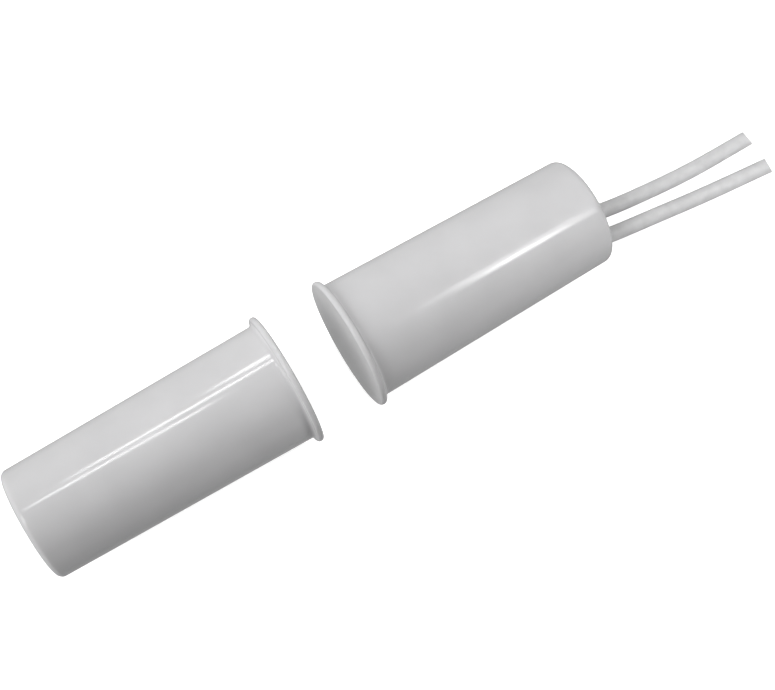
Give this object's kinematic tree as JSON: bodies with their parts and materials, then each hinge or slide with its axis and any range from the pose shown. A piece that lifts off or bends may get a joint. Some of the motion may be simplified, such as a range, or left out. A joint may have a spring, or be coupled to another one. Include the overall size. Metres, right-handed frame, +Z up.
{
  "type": "magnetic contact",
  "caption": "Recessed magnetic door contact: a flanged, tapered white switch barrel with cut leads, and the matching magnet barrel facing it across a gap.",
  "frame": {"origin": "on the common axis, in the plane where the switch half's flange seats on the frame's face", "axes": "+X along the common axis, from the magnet half towards the switch half and its leads; +Z up, across the leads; -Y the side the second lead leaves on"},
  "size_m": [0.1267, 0.0212, 0.0212],
  "materials": {
    "white_plastic": "smooth moulded gloss",
    "cast_resin": "poured, slightly dull",
    "lead_insulation": "soft extruded",
    "soft_sleeve": "matte",
    "shrink_sleeve": "matte",
    "glass": "clear, fire polished",
    "reed_metal": "bright drawn",
    "solder": "satin",
    "copper": "bright drawn copper",
    "magnet_metal": "ground"
  },
  "bodies": {
    "root": {"switch_housing": "white_plastic", "switch_potting": "cast_resin", "reed_sleeve": "soft_sleeve", "reed_glass": "glass", "reed_front_blade": "reed_metal", "reed_rear_blade": "reed_metal", "solder_joint_axis": "solder", "solder_joint_side": "solder", "shrink_sleeve_axis": "shrink_sleeve", "shrink_sleeve_side": "shrink_sleeve", "core_axis": "copper", "core_side": "copper", "lead_axis": "lead_insulation", "lead_side": "lead_insulation", "magnet_housing": "white_plastic", "magnet_rod": "magnet_metal", "magnet_potting": "cast_resin"}
  },
  "joints": []
}
